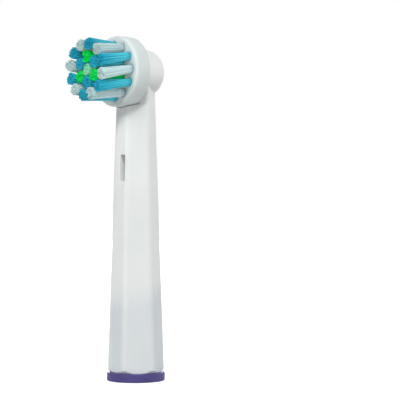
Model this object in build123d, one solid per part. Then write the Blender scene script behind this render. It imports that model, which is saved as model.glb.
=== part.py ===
from build123d import *
import math
import os

# Electric toothbrush head standing on its base ring, in millimetres.
# Z runs up the neck, the bristles face -Y, and the origin is the centre of the ring's underside.

# Overall
total_height = 78.0
disc_radius = 8.0
disc_z = total_height - disc_radius

# Fits and clearances
running = 0.05          # radial clearance of the turning journals
end_play = 0.15         # axial clearance at the ends of the turning pieces
gap = 0.3               # open gap between the disc and the housing behind it
disc_gap = 0.1          # open gap between the disc's edge and the neck below it
pin_play = 0.1          # clearance beside the pins
past = 1.0              # how far a cut runs past the face it opens

# Base ring with its sleeve
ring_radius = 6.6
ring_height = 1.85
ring_edge = 0.15
sleeve_seat_radius = 4.9
sleeve_seat_top = 9.0
sleeve_wall = 0.8
sleeve_tube_radius = 4.05
sleeve_tube_wall = 0.6
sleeve_height = 19.3    # at the neck's axis
sleeve_slope = 13.0     # degrees, the top edge is lower at the front
collar_depth = 8.0
web_thickness = 2.2
key_width = 1.3
key_depth = 0.4
key_height = 5.0

# Neck, a softened six-sided taper
neck_base_radius = 6.65
neck_taper = 1.6        # degrees, each side
neck_corners = (25.0, 86.0, 148.0)      # degrees each side of the front
neck_corner_round = 1.2
foot_radius = 5.75      # the foot is turned round below the six sides
foot_bevel = 1.0        # height over which the corners come back
neck_wall = 0.8
rod_bore_radius = 3.1
shoulder_wall = 0.9     # between the rod's bore and the disc's relief
slot_bottom = 45.1
slot_top = 51.2
slot_width = 1.55
slot_side = 0.88        # from the middle of the front face to the slot's middle
slot_round = 0.4
slot_sill = 1.4         # thick wall below the slot

# Head housing
housing_radius = 5.3
housing_rear = 5.5
housing_dome = 2.9
housing_lap = 0.05      # how far the housing reaches into the back of the disc
dome_steps = 5
flush_channel = 1.2     # width of the groove along the top and bottom of the hub's bore

# Brush disc, by the distance from the neck's axis
face_y = -6.3
rim_round = 0.5
rim_steps = 3
disc_rear_y = -2.15
disc_rear_radius = 7.9
rear_edge = 0.35
housing_front = disc_rear_y - housing_lap
plate_rear_y = housing_front - gap
skirt_radius = housing_radius + gap + pin_play
hub_radius = 3.6
hub_rear_y = 2.9

# Drive
crank_radius = 2.0
throat_radius = 2.6
fork_flare = 26.0
fork_front_y = 1.1
fork_inner = 1.2
pin_radius = 0.5
crank_engage = 1.0      # how far the crank pin passes the fork's throat
swing = 22.5            # degrees the disc swings each way
swing_margin = 2.0
rod_tube_radius = 3.0
rod_rib = 1.2
rod_rib_radius = 2.75
rod_tube_top = 24.0
rod_head_height = 5.6
flange_radius = 3.15
flange_height = 1.0
journal_radius = 2.6
socket_radius = 1.75
socket_flat = 1.36      # distance of the flat from the axis
lead_in_radius = 2.0
lead_in_depth = 4.0
socket_depth = 12.6
leaf_thickness = 0.22
leaf_width = 1.6
leaf_bow = 0.5
leaf_length = 7.0
leaf_start = 0.8        # above the lead-in
leaf_stand = 0.2        # how far the pocket opens into the socket

# Retaining pin
keeper_y = -0.7
keeper_tip = 2.25       # distance of its tip from the disc's axis
groove_floor = 2.05

# Tufts
tuft_radius = 0.85
tuft_lobes = 6
tuft_groove = 0.12      # depth of the grooves between the lobes, at the root
tuft_hole_depth = 2.4
outer_ring_radius = 5.8
inner_ring_radius = 2.9
outer_count = 12
inner_count = 6
first_angle = 2.0       # degrees, from the right towards the top as seen from the front
outer_length = 9.0
inner_length = 8.55
centre_length = 8.5
outer_tip_radius = 1.43
inner_tip_radius = 1.42
tip_height = 0.3        # rounded-off end of the bundle
tip_bevel = 0.28
outer_slant = 9.7       # degrees, all the same way round
outer_splay = -1.5      # degrees, away from the disc's axis
anchor_width = 1.3
anchor_thickness = 0.3
anchor_height = 1.2


def across(radius, y_front, y_rear):
    """A cylinder along Y on the disc's axis."""
    middle = (y_front + y_rear) / 2
    return Pos(0, middle, disc_z) * Rot(90, 0, 0) * Cylinder(radius, y_rear - y_front)


def upright(radius, z_bottom, z_top):
    """A cylinder on the neck's axis."""
    return Pos(0, 0, (z_bottom + z_top) / 2) * Cylinder(radius, z_top - z_bottom)


def block(x_size, y_front, y_rear, z_bottom, z_top):
    """A box centred on the neck's axis across its width."""
    size = (x_size, y_rear - y_front, z_top - z_bottom)
    return Pos(0, (y_front + y_rear) / 2, (z_bottom + z_top) / 2) * Box(*size)


def rounded(x, y, radius, steps):
    """Corner points of a quarter round about (x, y), from its far end round to its outer side."""
    turns = [math.radians(90 * i / steps) for i in range(steps + 1)]
    return [(x + radius * math.sin(t), y + radius * math.cos(t)) for t in turns]


def neck_outline(inset):
    """The neck's six-sided outline at its foot, moved in by a wall thickness."""
    turns = [math.radians(a) for a in neck_corners]
    right = [(neck_base_radius * math.sin(t), -neck_base_radius * math.cos(t)) for t in turns]
    left = [(-x, y) for x, y in reversed(right)]
    outline = make_face(Polyline(*right, *left, close=True))
    return offset(outline, -inset) if inset else outline


# Heights that follow from the sizes above
neck_bottom = ring_height
web_top = collar_depth + web_thickness
rod_bottom = collar_depth + end_play
relief_radius = disc_radius + disc_gap
rod_bore_bottom = slot_bottom - slot_sill
rod_shoulder = disc_z - relief_radius - shoulder_wall
rod_top = rod_shoulder - end_play
rod_head_bottom = rod_top - rod_head_height
crank_tip = disc_z - throat_radius + crank_engage
crank_sweep = crank_radius + pin_radius + 2 * pin_play
hub_bore_radius = hub_radius + running
hub_bore_rear = hub_rear_y + end_play
groove_half_angle = swing + swing_margin + math.degrees(math.asin((pin_radius + pin_play) / keeper_tip))

# Neck and head housing
neck = extrude(Pos(0, 0, neck_bottom) * neck_outline(0), disc_z - neck_bottom, taper=neck_taper)
upright_edges = [e for e in neck.edges() if abs(e.tangent_at(0).Z) > 0.9]
neck = fillet(upright_edges, neck_corner_round)
foot_outline = Polyline(
    (0, 0, neck_bottom),
    (foot_radius, 0, neck_bottom),
    (neck_base_radius, 0, neck_bottom + foot_bevel),
    (neck_base_radius, 0, total_height),
    (0, 0, total_height),
    close=True,
)
neck = neck & revolve(make_face(foot_outline), Axis.Z)
relief = across(relief_radius, -4 * disc_radius, disc_rear_y + gap)
dome = rounded(housing_radius - housing_dome, housing_rear - housing_dome, housing_dome, dome_steps)
housing_outline = Polyline(
    (0, housing_front), (0, housing_rear), *dome, (housing_radius, housing_front), close=True
)
housing = Pos(0, 0, disc_z) * revolve(make_face(housing_outline), Axis.Y)
neck = neck - relief + housing

seat = upright(sleeve_seat_radius + running, neck_bottom - past, sleeve_seat_top)
room_height = rod_bore_bottom - neck_bottom
room = extrude(Pos(0, 0, neck_bottom) * neck_outline(neck_wall), room_height, taper=neck_taper)
rod_bore = upright(rod_bore_radius, rod_bore_bottom - past, rod_shoulder)
crank_room = upright(crank_sweep, rod_shoulder - past, crank_tip)
crank_room = crank_room & block(3 * crank_sweep, pin_radius, 2 * crank_sweep, 0, total_height)
bore_front = housing_front - past
hub_bore = across(hub_bore_radius, bore_front, hub_bore_rear)
channel_reach = hub_bore_radius + 2 * pin_play
channel = block(flush_channel, bore_front, hub_bore_rear, disc_z - channel_reach, disc_z + channel_reach)
drain = Pos(slot_side, 0, 0) * block(slot_width, -2 * neck_base_radius, 0, slot_bottom, slot_top)
drain = fillet(drain.edges().filter_by(Axis.Y), slot_round)
keeper_hole = Pos(0, keeper_y, disc_z + housing_radius) * Cylinder(pin_radius, 2 * housing_radius)
keeper_hole = keeper_hole & upright(housing_radius, disc_z + keeper_tip, total_height)
neck_housing = neck - seat - room - rod_bore - crank_room - hub_bore - channel - drain - keeper_hole

# Base ring and sleeve
ring = upright(ring_radius, 0, ring_height)
ring = chamfer(ring.edges().filter_by(GeomType.CIRCLE), ring_edge)
sleeve_top = sleeve_height + sleeve_tube_radius
sleeve = upright(sleeve_seat_radius, ring_height, sleeve_seat_top)
sleeve += upright(sleeve_tube_radius, sleeve_seat_top, sleeve_top)
sleeve -= Pos(0, 0, sleeve_height) * Rot(sleeve_slope, 0, 0) * upright(ring_radius, 0, sleeve_height)
collar_radius = sleeve_seat_radius - sleeve_wall
collar_bore = upright(collar_radius, -past, collar_depth)
sleeve_room = upright(sleeve_tube_radius - sleeve_tube_wall, web_top, sleeve_top)
web_hole = upright(journal_radius + running, 0, web_top + past)
key = block(key_width, -collar_radius - key_depth, 0, -past, key_height)
keys = key + Rot(0, 0, 180) * key
colour_ring = ring + sleeve - collar_bore - sleeve_room - web_hole - keys

# Drive rod
rod = upright(journal_radius, rod_bottom, web_top + end_play)
rod += upright(flange_radius, web_top + end_play, web_top + end_play + flange_height)
rod += upright(rod_tube_radius, web_top + end_play, rod_tube_top)
rib = block(rod_rib, -rod_rib_radius, rod_rib_radius, rod_tube_top, rod_head_bottom)
rod += rib + Rot(0, 0, 90) * rib
rod += upright(rod_bore_radius - running, rod_head_bottom, rod_top)
lead_in = upright(lead_in_radius, rod_bottom - past, rod_bottom + lead_in_depth)
socket = upright(socket_radius, rod_bottom, rod_bottom + socket_depth)
socket -= block(4 * socket_radius, -2 * socket_radius, -socket_flat, 0, total_height)
leaf_bottom = rod_bottom + lead_in_depth + leaf_start
leaf_top = leaf_bottom + leaf_length
leaf_back = -socket_flat - leaf_bow - leaf_thickness - running
pocket_width = leaf_width + pin_play
leaf_pocket = block(
    pocket_width, leaf_back, leaf_stand - socket_flat, leaf_bottom - pin_play, leaf_top + pin_play
)
crank_foot = rod_head_bottom + past
crank_hole = Pos(0, crank_radius, 0) * upright(pin_radius, crank_foot, rod_top + past)
drive_rod = rod - lead_in - socket - leaf_pocket - crank_hole

# Leaf spring that grips the handle's shaft
leaf_middle = (leaf_bottom + leaf_top) / 2
leaf_front = leaf_back + leaf_thickness
leaf_outline = [
    ThreePointArc(
        (0, leaf_front, leaf_bottom), (0, leaf_front + leaf_bow, leaf_middle), (0, leaf_front, leaf_top)
    ),
    Line((0, leaf_front, leaf_top), (0, leaf_back, leaf_top)),
    ThreePointArc(
        (0, leaf_back, leaf_top), (0, leaf_back + leaf_bow, leaf_middle), (0, leaf_back, leaf_bottom)
    ),
    Line((0, leaf_back, leaf_bottom), (0, leaf_front, leaf_bottom)),
]
shaft_spring = extrude(make_face(leaf_outline), leaf_width / 2, dir=(1, 0, 0), both=True)

# Pins
crank_pin = Pos(0, crank_radius, 0) * upright(pin_radius, crank_foot, crank_tip)
crank_pin = chamfer(crank_pin.edges().filter_by(GeomType.CIRCLE).sort_by(Axis.Z)[-1], pin_play)
keeper_top = disc_z + housing_radius - 2 * pin_play
retaining_pin = Pos(0, keeper_y, 0) * upright(pin_radius, disc_z + keeper_tip, keeper_top)

# Brush disc and hub
rim = [(x, -y) for x, y in rounded(disc_radius - rim_round, -face_y - rim_round, rim_round, rim_steps)]
profile = Polyline(
    (0, face_y),
    *rim,
    (disc_rear_radius, disc_rear_y - rear_edge),
    (disc_rear_radius - rear_edge, disc_rear_y),
    (skirt_radius, disc_rear_y),
    (skirt_radius, plate_rear_y),
    (hub_radius, plate_rear_y),
    (hub_radius, hub_rear_y),
    (0, hub_rear_y),
    close=True,
)
disc = Pos(0, 0, disc_z) * revolve(make_face(profile), Axis.Y)

flare = math.tan(math.radians(fork_flare))
fork_half = pin_radius + pin_play
fork_outer = hub_radius + gap
outer_half = fork_half + (fork_outer - throat_radius) * flare
inner_half = fork_half + (throat_radius - fork_inner) * flare
fork_outline = Polyline(
    (-outer_half, -fork_outer),
    (outer_half, -fork_outer),
    (fork_half, -throat_radius),
    (inner_half, -fork_inner),
    (-inner_half, -fork_inner),
    (-fork_half, -throat_radius),
    close=True,
)
fork = extrude(Plane.XZ * make_face(fork_outline), hub_rear_y + past - fork_front_y)
fork = Pos(0, hub_rear_y + past, disc_z) * fork

groove_front = keeper_y - pin_radius - pin_play
groove_rear = keeper_y + pin_radius + pin_play
groove_reach = 2 * hub_radius
groove_side = groove_reach * math.tan(math.radians(groove_half_angle))
groove = across(hub_radius + past, groove_front, groove_rear)
groove -= across(groove_floor, groove_front, groove_rear)
groove_outline = Polyline((0, 0), (groove_side, groove_reach), (-groove_side, groove_reach), close=True)
groove_wedge = extrude(Plane.XZ * make_face(groove_outline), groove_reach, both=True)
groove = groove & (Pos(0, 0, disc_z) * groove_wedge)
disc = disc - fork - groove


def tuft_plane(ring_at, angle, slant, splay):
    """Where a tuft leaves the disc's face, with Z along the bristles."""
    a = math.radians(angle)
    outward = Vector(math.cos(a), 0, math.sin(a))
    around = Vector(math.sin(a), 0, -math.cos(a))
    foot = outward * ring_at + Vector(0, face_y, disc_z)
    lean = around * math.tan(math.radians(slant)) + outward * math.tan(math.radians(splay))
    return Plane(origin=foot, x_dir=outward, z_dir=lean + Vector(0, -1, 0))


def tuft_outline(radius, height):
    """Corner points of the grooved outline of a bundle of bristles."""
    step = math.pi / tuft_lobes
    radii = [radius, radius * (1 - tuft_groove / tuft_radius)] * tuft_lobes
    return [(r * math.cos(i * step), r * math.sin(i * step), height) for i, r in enumerate(radii)]


def tuft_body(length, tip_radius):
    """A bundle of bristles from the foot of its hole to its rounded-off tip."""
    levels = [
        tuft_outline(tuft_radius, -tuft_hole_depth),
        tuft_outline(tuft_radius, 0),
        tuft_outline(tip_radius, length - tip_height),
        tuft_outline(tip_radius - tip_bevel, length),
    ]
    faces = [make_face(Polyline(*level, close=True)) for level in (levels[0], levels[-1])]
    for lower, upper in zip(levels, levels[1:]):
        for i in range(2 * tuft_lobes):
            faces.append(make_face(Polyline(lower[i - 1], lower[i], upper[i], upper[i - 1], close=True)))
    return Solid(Shell(faces))


anchor_blade = Pos(0, 0, -tuft_hole_depth + anchor_height / 2) * Box(
    anchor_width, anchor_thickness, anchor_height
)
hole_tool = upright(tuft_radius + running, -tuft_hole_depth, past)
tufts = {}
anchors = []
places = []
outer_body = tuft_body(outer_length, outer_tip_radius)
for i in range(outer_count):
    plane = tuft_plane(outer_ring_radius, first_angle + i * 360 / outer_count, outer_slant, outer_splay)
    places.append((f"tuft_outer_{i + 1:02d}", plane, outer_body))
inner_body = tuft_body(inner_length, inner_tip_radius)
for i in range(inner_count):
    angle = first_angle + 360 / outer_count + i * 360 / inner_count
    places.append((f"tuft_inner_{i + 1}", tuft_plane(inner_ring_radius, angle, 0, 0), inner_body))
places.append(("tuft_centre", tuft_plane(0, 90, 0, 0), tuft_body(centre_length, inner_tip_radius)))
for name, plane, body in places:
    tufts[name] = plane * (body - anchor_blade)
    anchors.append(plane * anchor_blade)
    disc = disc - plane * hole_tool
brush_disc = disc
tuft_anchors = Compound(children=[Solid(b.solids()[0].wrapped) for b in anchors])

# One file for each piece
pieces = {
    "neck_housing": neck_housing,
    "colour_ring": colour_ring,
    "drive_rod": drive_rod,
    "shaft_spring": shaft_spring,
    "crank_pin": crank_pin,
    "retaining_pin": retaining_pin,
    "brush_disc": brush_disc,
    "tuft_anchors": tuft_anchors,
}
pieces.update(tufts)
os.makedirs("parts", exist_ok=True)
for name, piece in pieces.items():
    export_step(piece, f"parts/{name}.step")
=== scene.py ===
import math
import random

import bpy
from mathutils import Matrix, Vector


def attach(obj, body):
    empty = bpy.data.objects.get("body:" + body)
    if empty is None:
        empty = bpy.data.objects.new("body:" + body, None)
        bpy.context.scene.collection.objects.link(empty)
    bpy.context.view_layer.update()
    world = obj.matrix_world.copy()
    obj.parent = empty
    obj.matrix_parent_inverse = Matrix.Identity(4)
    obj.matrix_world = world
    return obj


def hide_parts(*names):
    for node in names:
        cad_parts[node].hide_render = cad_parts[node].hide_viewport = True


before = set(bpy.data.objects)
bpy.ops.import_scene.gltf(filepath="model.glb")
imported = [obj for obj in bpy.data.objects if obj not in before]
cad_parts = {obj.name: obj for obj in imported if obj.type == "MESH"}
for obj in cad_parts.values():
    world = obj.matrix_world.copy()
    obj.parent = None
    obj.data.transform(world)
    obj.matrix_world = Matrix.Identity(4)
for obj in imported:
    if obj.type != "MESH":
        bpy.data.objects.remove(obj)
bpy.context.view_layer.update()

MM = 0.001

# Sizes shared with the CAD source, in millimetres and degrees
DISC_Z = 70.0
FACE_Y = -6.3
TUFT_RADIUS = 0.85
FIRST_ANGLE = 2.0
OUTER_TUFTS = 12
OUTER_STEP = 360.0 / OUTER_TUFTS
OUTER_RING = 5.8
OUTER_TIP = 1.43
OUTER_LENGTH = 9.0
OUTER_SLANT = 9.7
OUTER_SPLAY = -1.5
INNER_TUFTS = 6
INNER_STEP = 360.0 / INNER_TUFTS
INNER_RING = 2.9
INNER_TIP = 1.42
INNER_LENGTH = 8.55
CENTRE_LENGTH = 8.5
CENTRE_ANGLE = 90.0

# Bristles: counts, and lengths in millimetres
FILAMENTS = 150
FILAMENT_RADIUS = 0.09
FILAMENT_SIDES = 5
FILAMENT_STEPS = 5
FILAMENT_BEND = 0.12
CORE_SIDES = 12
CORE_BELOW_TIPS = 0.7
CLUMPS = 13
CLUMP_RAGGED = 0.55
STRAND_RAGGED = 0.07
ROOT = -0.6
TIP_MARGIN = 0.05
TIP_ROUNDING = 0.07

# Bristles: shares and shades
CORE_SHARE = 0.8
CORE_SHADE = 0.5
ROOT_OVERLAP = 0.5
TIP_SHARE = 0.55
CUT_END = 0.94
SHOWS_THROUGH = 0.3

# Spread of the points in a tuft, in radians
ANGLE_SHAKE = 0.12

# First random seed of each group of tufts
OUTER_SEED = 11
INNER_SEED = 31
CENTRE_SEED = 41

# Tint of the neck's foot by the sleeve behind it: heights in metres, and its edge's slope
TINT_FULL_BELOW = 0.0165
TINT_NONE_ABOVE = 0.0227
TINT_SLOPE = 0.23

# Facets beside the front, where the tint is weaker: direction, metres from the axis, share
FACET_X = 0.82
FACET_Y = 0.57
FACET_STARTS = 0.0042
FACET_ENDS = 0.0052
FACET_TINT = 0.62

# Floor and world: metres, strengths where 1 is white, and linear colours
FLOOR_HALF = 3.0
FLOOR_DROP = 0.00002
GLOW_NEAR = 0.1
GLOW_FAR = 0.8
GLOW_AT_OBJECT = 0.60
GLOW_AT_HORIZON = 1.0
AMBIENT = 0.14
AMBIENT_COLOUR = (0.96, 0.98, 1.0, 1.0)
PURE_WHITE = (1.0, 1.0, 1.0, 1.0)

# Lamps, in metres
LAMP_AIM_Z = 0.045
FILL_AIM_Y = -0.0110

# Camera: degrees, metres, pixels, and the sensor in millimetres
CAMERA_AZIMUTH = 47.5
CAMERA_DISTANCE = 0.350
CAMERA_HEIGHT = 0.0410
AXIS_OFFSET = 0.01462
NEAR_CLIP = 0.01
SENSOR_WIDTH = 36.0
IMAGE_WIDTH = 400.0
PIXELS_PER_MM = 4.385


def lin(r, g, b):
    """An sRGB colour of 0 to 255 as a linear RGBA tuple."""
    def one(v):
        v /= 255.0
        return v / 12.92 if v <= 0.04045 else ((v + 0.055) / 1.055) ** 2.4
    return (one(r), one(g), one(b), 1.0)


def add_object(name, data):
    """A new object in the scene."""
    thing = bpy.data.objects.new(name, data)
    bpy.context.scene.collection.objects.link(thing)
    return thing


class Shader:
    """A small helper to lay out one material's nodes."""

    def __init__(self, name):
        self.mat = bpy.data.materials.new(name)
        self.mat.use_nodes = True
        self.tree = self.mat.node_tree
        self.tree.nodes.clear()
        self.out = self.add("ShaderNodeOutputMaterial")
        self.bsdf = self.add("ShaderNodeBsdfPrincipled")
        self.feed(self.out.inputs[0], self.bsdf.outputs[0])
        self.coords = self.add("ShaderNodeTexCoord").outputs["Object"]

    def add(self, kind, **values):
        node = self.tree.nodes.new(kind)
        for key, value in values.items():
            setattr(node, key, value)
        return node

    def feed(self, socket, value):
        """Links another node's output to the socket, or sets a plain value on it."""
        if isinstance(value, bpy.types.NodeSocket):
            self.tree.links.new(value, socket)
        else:
            socket.default_value = value

    def set(self, **values):
        """Feeds the surface shader's sockets, with _ for the spaces in their names."""
        for key, value in values.items():
            self.feed(self.bsdf.inputs[key.replace("_", " ")], value)

    def noise(self, scale, detail=3.0, rough=0.5, stretch=None):
        source = self.coords
        if stretch:
            mapping = self.add("ShaderNodeMapping")
            self.feed(mapping.inputs["Vector"], self.coords)
            self.feed(mapping.inputs["Scale"], stretch)
            source = mapping.outputs[0]
        node = self.add("ShaderNodeTexNoise")
        for key, value in (("Vector", source), ("Scale", scale), ("Detail", detail), ("Roughness", rough)):
            self.feed(node.inputs[key], value)
        return node.outputs[0]

    def span(self, value, low, high, to_low=0.0, to_high=1.0, smooth=False):
        """Maps the range from low to high onto the range from to_low to to_high."""
        node = self.add("ShaderNodeMapRange")
        if smooth:
            node.interpolation_type = "SMOOTHSTEP"
        self.feed(node.inputs["Value"], value)
        self.feed(node.inputs["From Min"], low)
        self.feed(node.inputs["From Max"], high)
        self.feed(node.inputs["To Min"], to_low)
        self.feed(node.inputs["To Max"], to_high)
        return node.outputs[0]

    def mix(self, factor, a, b):
        """A colour between a and b; sockets 6, 7 and 2 are the mix node's own for colours."""
        node = self.add("ShaderNodeMix", data_type="RGBA")
        for index, value in ((0, factor), (6, a), (7, b)):
            self.feed(node.inputs[index], value)
        return node.outputs[2]

    def calc(self, operation, a, b=0.0):
        node = self.add("ShaderNodeMath", operation=operation)
        self.feed(node.inputs[0], a)
        self.feed(node.inputs[1], b)
        return node.outputs[0]

    def attribute(self, name):
        return self.add("ShaderNodeAttribute", attribute_name=name).outputs["Fac"]

    def bump(self, height, strength, distance, soft_edge=0.0):
        """Fine relief; soft_edge is the radius over which edges are shaded round."""
        node = self.add("ShaderNodeBump")
        self.feed(node.inputs["Height"], height)
        self.feed(node.inputs["Strength"], strength)
        self.feed(node.inputs["Distance"], distance)
        if soft_edge:
            edge = self.add("ShaderNodeBevel", samples=6)
            self.feed(edge.inputs["Radius"], soft_edge)
            self.feed(node.inputs["Normal"], edge.outputs[0])
        self.set(Normal=node.outputs[0])

    def combine(self, kind, first, second):
        """Sends two shaders together to the output, through a mix or an add node."""
        both = self.add(kind)
        self.feed(both.inputs[-2], first)
        self.feed(both.inputs[-1], second)
        self.feed(self.out.inputs[0], both.outputs[0])
        return both


def seen_ray(tree):
    """1 for rays from the camera, off gloss or through the object, and 0 for those that light it."""
    paths = tree.nodes.new("ShaderNodeLightPath")
    seen = paths.outputs["Is Camera Ray"]
    for kind in ("Is Glossy Ray", "Is Transmission Ray"):
        either = tree.nodes.new("ShaderNodeMath")
        either.operation = "MAXIMUM"
        tree.links.new(seen, either.inputs[0])
        tree.links.new(paths.outputs[kind], either.inputs[1])
        seen = either.outputs[0]
    return seen


def sleeve_tint(s, base, first, second):
    """Tints the neck's foot where the sleeve lies behind it, less on the facets beside the front."""
    place = s.add("ShaderNodeSeparateXYZ")
    s.feed(place.inputs[0], s.coords)
    x, y, z = place.outputs
    sloping = s.calc("SUBTRACT", z, s.calc("MULTIPLY", y, TINT_SLOPE))
    behind = s.span(sloping, TINT_FULL_BELOW, TINT_NONE_ABOVE, 1.0, 0.0, smooth=True)
    aside = s.calc("MULTIPLY", s.calc("ABSOLUTE", x), FACET_X)
    facing = s.calc("SUBTRACT", aside, s.calc("MULTIPLY", y, FACET_Y))
    weaker = s.span(facing, FACET_STARTS, FACET_ENDS, 1.0, FACET_TINT, smooth=True)
    streaks = s.span(s.noise(1.0, detail=2.0, stretch=(1500.0, 1500.0, 60.0)), 0.35, 0.65)
    return s.mix(s.calc("MULTIPLY", behind, weaker), base, s.mix(streaks, first, second))


def moulded_white(name, light, dark, soft_edge, show_through=None):
    """White moulded plastic; show_through is a pair of tints for the foot of the neck."""
    s = Shader(name)
    base = s.mix(s.span(s.noise(160.0, detail=4.0), 0.35, 0.65), light, dark)
    if show_through:
        base = sleeve_tint(s, base, *show_through)
    s.bump(s.noise(5200.0, detail=2.0), strength=0.06, distance=0.00003, soft_edge=soft_edge)
    s.set(
        Base_Color=base,
        Roughness=s.span(s.noise(900.0), 0.3, 0.7, 0.40, 0.52),
        Subsurface_Weight=0.4,
        Subsurface_Scale=0.0015,
        Subsurface_Radius=(1.0, 0.95, 0.9),
        IOR=1.5,
        Specular_IOR_Level=0.3,
    )
    return s.mat


def moulded_colour(name, light, dark, rough, shine):
    """Coloured moulded plastic with a faint grain."""
    s = Shader(name)
    s.bump(s.noise(4200.0), strength=0.10, distance=0.00004, soft_edge=0.00025)
    s.set(
        Base_Color=s.mix(s.span(s.noise(420.0, detail=4.0), 0.32, 0.68), light, dark),
        Roughness=s.span(s.noise(1500.0), 0.3, 0.7, rough - 0.06, rough + 0.08),
        IOR=1.49,
        Specular_IOR_Level=shine,
    )
    return s.mat


def metal(name, light, dark, stretch, rough):
    """Drawn or ground metal with fine lines along one direction."""
    s = Shader(name)
    lines = s.span(s.noise(1.0, rough=0.6, stretch=stretch), 0.3, 0.7)
    s.bump(lines, strength=0.12, distance=0.00001)
    s.set(
        Base_Color=s.mix(lines, light, dark),
        Roughness=s.span(s.noise(2500.0, detail=2.0), 0.3, 0.7, rough - 0.05, rough + 0.12),
        Metallic=1.0,
    )
    return s.mat


def bristle(name, root, tip, dark, cut):
    """Nylon filaments: each one differs a little; the colour shifts from a lighter root to a darker tip as
    painted light and shade, and the cut end is painted darker still as painted shade.
    """
    s = Shader(name)
    along = s.attribute("along")
    # Painted light and shade along the tuft: the root colour is lighter and the tip colour darker.
    base = s.mix(s.span(along, 0.15, CUT_END), root, tip)
    base = s.mix(s.span(s.attribute("strand"), 0.45, 1.0, 0.0, 0.55), base, dark)
    # Painted shade at the cut end: the last share of each filament turns to the darker cut colour.
    base = s.mix(s.span(along, CUT_END, 1.0), base, cut)
    s.bump(s.noise(6000.0, detail=2.0, stretch=(1.0, 0.2, 1.0)), strength=0.15, distance=0.00002)
    s.set(
        Base_Color=base,
        Roughness=s.span(s.noise(2600.0, detail=2.0), 0.3, 0.7, 0.28, 0.45),
        IOR=1.53,
        Specular_IOR_Level=0.2,
    )
    through = s.add("ShaderNodeBsdfTranslucent")
    s.feed(through.inputs["Color"], base)
    both = s.combine("ShaderNodeMixShader", s.bsdf.outputs[0], through.outputs[0])
    s.feed(both.inputs["Fac"], SHOWS_THROUGH)
    return s.mat


def pale_floor():
    """A pale grey floor that looks white, and that still shows the object's shadow."""
    s = Shader("floor_pale")
    grain = s.span(s.noise(60.0), 0.3, 0.7)
    s.set(Base_Color=s.mix(grain, lin(206, 206, 206), lin(203, 203, 203)), Roughness=0.9)
    away = s.add("ShaderNodeVectorMath", operation="LENGTH")
    s.feed(away.inputs[0], s.coords)
    level = s.span(away.outputs["Value"], GLOW_NEAR, GLOW_FAR, GLOW_AT_OBJECT, GLOW_AT_HORIZON)
    glow = s.add("ShaderNodeEmission")
    s.feed(glow.inputs["Color"], PURE_WHITE)
    s.feed(glow.inputs["Strength"], s.calc("MULTIPLY", seen_ray(s.tree), level))
    s.combine("ShaderNodeAddShader", s.bsdf.outputs[0], glow.outputs[0])
    return s.mat


# Materials of the CAD pieces
NECK_WHITE = moulded_white(
    "neck_white", lin(239, 242, 240), lin(235, 239, 237), soft_edge=0.0004,
    show_through=(lin(216, 226, 225), lin(218, 220, 229)),
)
# The disc uses the neck's white painted darker, as painted shade, with a faint painted cyan cast standing
# for light bounced off the bristles.
DISC_SHADED_WHITE = moulded_white("disc_white_painted_shade", lin(217, 226, 224), lin(212, 221, 219), soft_edge=0.0008)
VIOLET = moulded_colour("ring_violet", lin(85, 77, 137), lin(78, 70, 128), rough=0.5, shine=0.2)
NATURAL = moulded_colour("rod_natural", lin(238, 240, 236), lin(228, 230, 226), rough=0.45, shine=0.5)
STEEL = metal(
    "pin_steel", lin(205, 206, 208), lin(168, 170, 173), stretch=(900.0, 900.0, 9000.0), rough=0.22
)
SPRING = metal(
    "spring_steel", lin(198, 198, 194), lin(160, 161, 160), stretch=(9000.0, 600.0, 600.0), rough=0.28
)
BRASS = metal(
    "anchor_brass", lin(214, 184, 120), lin(178, 148, 88), stretch=(3000.0, 9000.0, 3000.0), rough=0.3
)
for node, material in (
    ("neck_housing", NECK_WHITE),
    ("brush_disc", DISC_SHADED_WHITE),
    ("colour_ring", VIOLET),
    ("drive_rod", NATURAL),
    ("shaft_spring", SPRING),
    ("crank_pin", STEEL),
    ("retaining_pin", STEEL),
    ("tuft_anchors", BRASS),
):
    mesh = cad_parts[node].data
    mesh.materials.clear()
    mesh.materials.append(material)

# Materials of the bristles. The white nylon carries a painted cyan cast, standing for light bounced off
# the blue and green tufts around it.
BRISTLES = {
    "white": bristle(
        "bristle_white",
        root=lin(234, 251, 254), tip=lin(217, 238, 238), dark=lin(206, 231, 229), cut=lin(187, 208, 205),
    ),
    # White nylon of the centre tuft with a painted green cast, standing for light bounced off the green
    # tufts beside it.
    "centre": bristle(
        "bristle_centre_painted_bounce",
        root=lin(200, 248, 230), tip=lin(166, 238, 204), dark=lin(152, 230, 192), cut=lin(128, 216, 176),
    ),
    "blue": bristle(
        "bristle_blue",
        root=lin(108, 242, 255), tip=lin(51, 197, 222), dark=lin(42, 185, 213), cut=lin(26, 162, 184),
    ),
    "green": bristle(
        "bristle_green",
        root=lin(6, 250, 124), tip=lin(0, 240, 104), dark=lin(0, 226, 96), cut=lin(0, 226, 96),
    ),
}


def spread(count, rng):
    """Evenly spread points in the unit circle, a little shaken."""
    points = []
    golden = math.pi * (3.0 - math.sqrt(5.0))
    for i in range(count):
        radius = math.sqrt((i + 0.5) / count)
        angle = i * golden + rng.uniform(-ANGLE_SHAKE, ANGLE_SHAKE)
        points.append((radius * math.cos(angle), radius * math.sin(angle)))
    return points


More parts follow.
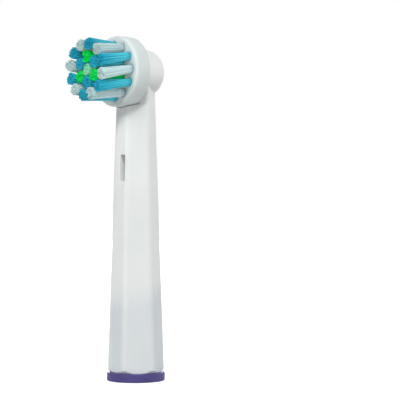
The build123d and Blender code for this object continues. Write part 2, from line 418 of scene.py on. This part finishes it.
class Bundle:
    """The mesh of one tuft, gathered strand by strand in the tuft's own directions."""

    def __init__(self, foot, along, side):
        self.foot, self.along, self.side, self.up = foot, along, side, along.cross(side)
        self.verts, self.faces, self.marks, self.shades = [], [], [], []

    def strand(self, stations, sides, turn, shade):
        """A closed tube through stations of (x, y, height, radius, mark).

        The mark is the share of the tuft's length there, up to CUT_END, and 1 at a cut end.
        """
        rings = []
        for x, y, height, radius, mark in stations:
            rings.append(len(self.verts))
            centre = self.foot + self.along * height + self.side * x + self.up * y
            for k in range(sides):
                q = turn + k * math.tau / sides
                corner = centre + self.side * (radius * math.cos(q)) + self.up * (radius * math.sin(q))
                self.verts.append(corner * MM)
                self.marks.append(mark)
                self.shades.append(shade)
        for low, high in zip(rings, rings[1:]):
            for k in range(sides):
                n = (k + 1) % sides
                self.faces.append((low + k, low + n, high + n, high + k))
        self.faces.append(tuple(rings[-1] + k for k in range(sides)))
        self.faces.append(tuple(rings[0] + k for k in reversed(range(sides))))

    def finish(self, name, material):
        mesh = bpy.data.meshes.new(name)
        mesh.from_pydata(self.verts, [], self.faces)
        mesh.attributes.new("along", "FLOAT", "POINT").data.foreach_set("value", self.marks)
        mesh.attributes.new("strand", "FLOAT", "POINT").data.foreach_set("value", self.shades)
        mesh.polygons.foreach_set("use_smooth", [True] * len(mesh.polygons))
        mesh.materials.append(material)
        mesh.update()
        return add_object(name, mesh)


def tuft_directions(ring, angle, slant, splay):
    """The foot of a tuft on the disc's face, its direction and a direction across it."""
    a = math.radians(angle)
    outward = Vector((math.cos(a), 0.0, math.sin(a)))
    around_disc = Vector((math.sin(a), 0.0, -math.cos(a)))
    foot = Vector((0.0, FACE_Y, DISC_Z)) + outward * ring
    along = around_disc * math.tan(math.radians(slant)) + outward * math.tan(math.radians(splay))
    along = (along + Vector((0.0, -1.0, 0.0))).normalized()
    side = (outward - along * outward.dot(along)).normalized()
    return foot, along, side


def filament(u, v, bend_u, bend_v, end, length, room):
    """The stations of one bristle at the place u, v in its tuft, with a rounded cut end."""
    stations = []
    for step in range(FILAMENT_STEPS + 2):
        t = min(step, FILAMENT_STEPS) / FILAMENT_STEPS
        height = ROOT + (end - ROOT) * t - (TIP_ROUNDING if step == FILAMENT_STEPS else 0.0)
        share = max(0.0, height) / length
        x = u * room(height) + bend_u * share * share
        y = v * room(height) + bend_v * share * share
        if step > FILAMENT_STEPS:
            stations.append((x, y, height, FILAMENT_RADIUS * TIP_SHARE, 1.0))
        else:
            stations.append((x, y, height, FILAMENT_RADIUS, min(share, CUT_END)))
    return stations


def make_tuft(name, ring, angle, slant, splay, length, tip_radius, material, seed):
    """A bundle of separate bristles standing in one hole of the disc, round a solid core."""
    rng = random.Random(seed)
    bundle = Bundle(*tuft_directions(ring, angle, slant, splay))
    reach = length - TIP_MARGIN
    root_room = TUFT_RADIUS - FILAMENT_RADIUS * ROOT_OVERLAP
    tip_room = tip_radius - FILAMENT_RADIUS

    def room(height):
        return root_room + (tip_room - root_room) * max(0.0, height) / length

    clumps = [(*spot, rng.uniform(0.0, CLUMP_RAGGED)) for spot in spread(CLUMPS, rng)]

    def cut_back(u, v):
        nearest = min(clumps, key=lambda c: (c[0] - u) ** 2 + (c[1] - v) ** 2)
        return nearest[2] + abs(rng.gauss(0.0, STRAND_RAGGED))

    core_top = reach - CORE_BELOW_TIPS
    core = [
        (0.0, 0.0, height, room(height) * CORE_SHARE, max(0.0, height) / core_top)
        for height in (ROOT, 0.0, core_top)
    ]
    bundle.strand(core, CORE_SIDES, 0.0, CORE_SHADE)
    for u, v in spread(FILAMENTS, rng):
        shade = rng.random()
        end = reach - cut_back(u, v)
        inside = 1.0 - math.hypot(u, v)
        bend_u = rng.uniform(-FILAMENT_BEND, FILAMENT_BEND) * inside
        bend_v = rng.uniform(-FILAMENT_BEND, FILAMENT_BEND) * inside
        turn = rng.uniform(0.0, math.tau)
        stations = filament(u, v, bend_u, bend_v, end, length, room)
        bundle.strand(stations, FILAMENT_SIDES, turn, shade)
    return bundle.finish(name, material)


def add_tuft(node, hue, *shape, seed, tint=None):
    """Bristles in place of one CAD tuft; tint is a material other than the hue's own, one whose colour
    holds painted bounced light.
    """
    tuft = make_tuft(node.replace("tuft", "bristles"), *shape, BRISTLES[tint or hue], seed)
    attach(tuft, "brush")
    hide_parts(node)


# Tufts
for i in range(OUTER_TUFTS):
    hue = "white" if i % 2 == 0 else "blue"
    angle = FIRST_ANGLE + OUTER_STEP * i
    add_tuft(
        f"tuft_outer_{i + 1:02d}", hue,
        OUTER_RING, angle, OUTER_SLANT, OUTER_SPLAY, OUTER_LENGTH, OUTER_TIP, seed=OUTER_SEED + i,
    )
for i in range(INNER_TUFTS):
    hue = "blue" if i % 2 == 0 else "green"
    angle = FIRST_ANGLE + OUTER_STEP + INNER_STEP * i
    add_tuft(
        f"tuft_inner_{i + 1}", hue,
        INNER_RING, angle, 0.0, 0.0, INNER_LENGTH, INNER_TIP, seed=INNER_SEED + i,
    )
# The centre tuft is white nylon in the material with painted green bounced light.
add_tuft(
    "tuft_centre", "white",
    0.0, CENTRE_ANGLE, 0.0, 0.0, CENTRE_LENGTH, INNER_TIP, seed=CENTRE_SEED, tint="centre",
)

# Floor
floor_mesh = bpy.data.meshes.new("floor")
floor_corners = [(x * FLOOR_HALF, y * FLOOR_HALF, 0.0) for x, y in ((-1, -1), (1, -1), (1, 1), (-1, 1))]
floor_mesh.from_pydata(floor_corners, [], [(0, 1, 2, 3)])
floor_mesh.materials.append(pale_floor())
floor = add_object("floor", floor_mesh)
floor.location.z = -FLOOR_DROP


def studio_world():
    """A world that lights the object faintly and looks white where it is seen."""
    world = bpy.data.worlds.new("studio")
    world.use_nodes = True
    tree = world.node_tree
    tree.nodes.clear()
    mixer = tree.nodes.new("ShaderNodeMixShader")
    tree.links.new(seen_ray(tree), mixer.inputs[0])
    for index, colour, strength in ((1, AMBIENT_COLOUR, AMBIENT), (2, PURE_WHITE, 1.0)):
        background = tree.nodes.new("ShaderNodeBackground")
        background.inputs["Color"].default_value = colour
        background.inputs["Strength"].default_value = strength
        tree.links.new(background.outputs[0], mixer.inputs[index])
    out = tree.nodes.new("ShaderNodeOutputWorld")
    tree.links.new(mixer.outputs[0], out.inputs[0])
    return world


def around(azimuth, elevation, distance, height):
    """A point round the object's axis, with azimuth 0 in front of the bristles."""
    a, e = math.radians(azimuth), math.radians(elevation)
    return Vector((
        distance * math.sin(a) * math.cos(e),
        -distance * math.cos(a) * math.cos(e),
        height + distance * math.sin(e),
    ))


def hang(lamp, turn, elevation, distance, target):
    """Hangs a lamp round the axis, turned from the camera's azimuth, and aims it at the target."""
    holder = add_object(lamp.name, lamp)
    holder.location = around(CAMERA_AZIMUTH + turn, elevation, distance, target.z)
    holder.rotation_euler = (target - holder.location).to_track_quat("-Z", "Y").to_euler()


def soft_box(name, turn, elevation, distance, size, watts):
    """A square studio lamp aimed at the middle of the object."""
    lamp = bpy.data.lights.new(name, "AREA")
    lamp.shape = "SQUARE"
    lamp.size = size
    lamp.energy = watts
    hang(lamp, turn, elevation, distance, Vector((0.0, 0.0, LAMP_AIM_Z)))


def bristle_fill():
    """A narrow soft spot that lifts the bristles from low in front."""
    lamp = bpy.data.lights.new("bristle_fill", "SPOT")
    lamp.energy = 4.30
    lamp.spot_size = math.radians(2.65)
    lamp.spot_blend = 1.0
    lamp.shadow_soft_size = 0.004
    target = Vector((0.0, FILL_AIM_Y, DISC_Z * MM))
    hang(lamp, turn=6.0, elevation=-7.0, distance=0.50, target=target)


def photo_camera():
    """A level camera at the photograph's angle, with the object's axis left of the middle."""
    lens = bpy.data.cameras.new("camera")
    lens.sensor_width = SENSOR_WIDTH
    lens.lens = PIXELS_PER_MM * CAMERA_DISTANCE / MM * SENSOR_WIDTH / IMAGE_WIDTH
    lens.clip_start = NEAR_CLIP
    camera = add_object("camera", lens)
    yaw = math.radians(CAMERA_AZIMUTH)
    right = Vector((math.cos(yaw), math.sin(yaw), 0.0))
    camera.location = around(CAMERA_AZIMUTH, 0.0, CAMERA_DISTANCE, CAMERA_HEIGHT) + right * AXIS_OFFSET
    camera.rotation_euler = (math.radians(90.0), 0.0, yaw)
    return camera


# Light and camera
soft_box("key_light", turn=6.0, elevation=46.0, distance=2.00, size=0.40, watts=23.60)
soft_box("side_light", turn=102.0, elevation=2.0, distance=1.20, size=0.80, watts=6.60)
soft_box("bristle_light", turn=-46.0, elevation=26.0, distance=1.20, size=0.30, watts=4.40)
soft_box("back_light", turn=180.0, elevation=4.0, distance=1.20, size=0.50, watts=8.80)
bristle_fill()
bpy.context.scene.world = studio_world()
bpy.context.scene.camera = photo_camera()
bpy.context.scene.view_settings.view_transform = "Standard"
